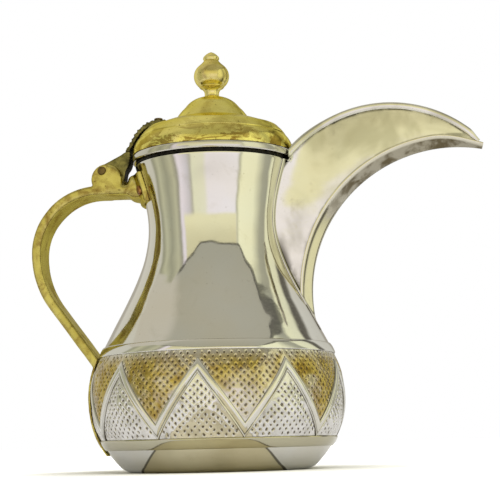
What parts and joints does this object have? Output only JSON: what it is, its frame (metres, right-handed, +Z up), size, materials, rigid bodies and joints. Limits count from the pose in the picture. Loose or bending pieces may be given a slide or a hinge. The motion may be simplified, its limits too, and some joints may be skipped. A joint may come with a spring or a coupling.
{
  "type": "dallah coffee pot",
  "caption": "Long-beaked metal coffee pot with a round belly, chased zigzag band, open crescent spout, strap handle and a hinged domed lid with a ball finial.",
  "frame": {"origin": "centre of the flat bottom that the pot stands on", "axes": "+Z up along the pot's axis, +X along the spout, +Y to the spout's left seen from above with the spout ahead"},
  "size_m": [0.3034, 0.1683, 0.285],
  "materials": {
    "nickel_plate": "polished nickel plate over brass, softly worn",
    "yellow_brass": "polished brass with brown tarnish",
    "dark_brass": "antiqued cast brass, dark in the recesses",
    "copper": "dull copper"
  },
  "bodies": {
    "pot": {"base_bowl": "nickel_plate", "belly_band": "nickel_plate", "neck_shell": "nickel_plate", "base_girdle": "nickel_plate", "shoulder_girdle": "nickel_plate", "spout_left_cheek": "nickel_plate", "spout_right_cheek": "nickel_plate", "spout_keel": "nickel_plate", "spout_left_bead": "nickel_plate", "spout_right_bead": "nickel_plate", "spout_root_strips": "nickel_plate", "handle": "yellow_brass", "handle_rivets": "copper", "handle_rivet_roves": "copper", "hinge_pin": "dark_brass"},
    "lid": {"lid_dome": "yellow_brass", "lid_band": "nickel_plate", "lid_skirt": "nickel_plate", "finial": "yellow_brass", "finial_washer": "yellow_brass", "finial_nut": "yellow_brass", "hinge_strap": "dark_brass", "strap_rivets": "dark_brass"}
  },
  "joints": [
    {"name": "lid_hinge", "type": "hinge", "parent": "pot", "child": "lid", "pos_m": [-0.0746, 0, 0.2023], "axis": [0, -1, 0], "range_deg": [0, 110]}
  ]
}
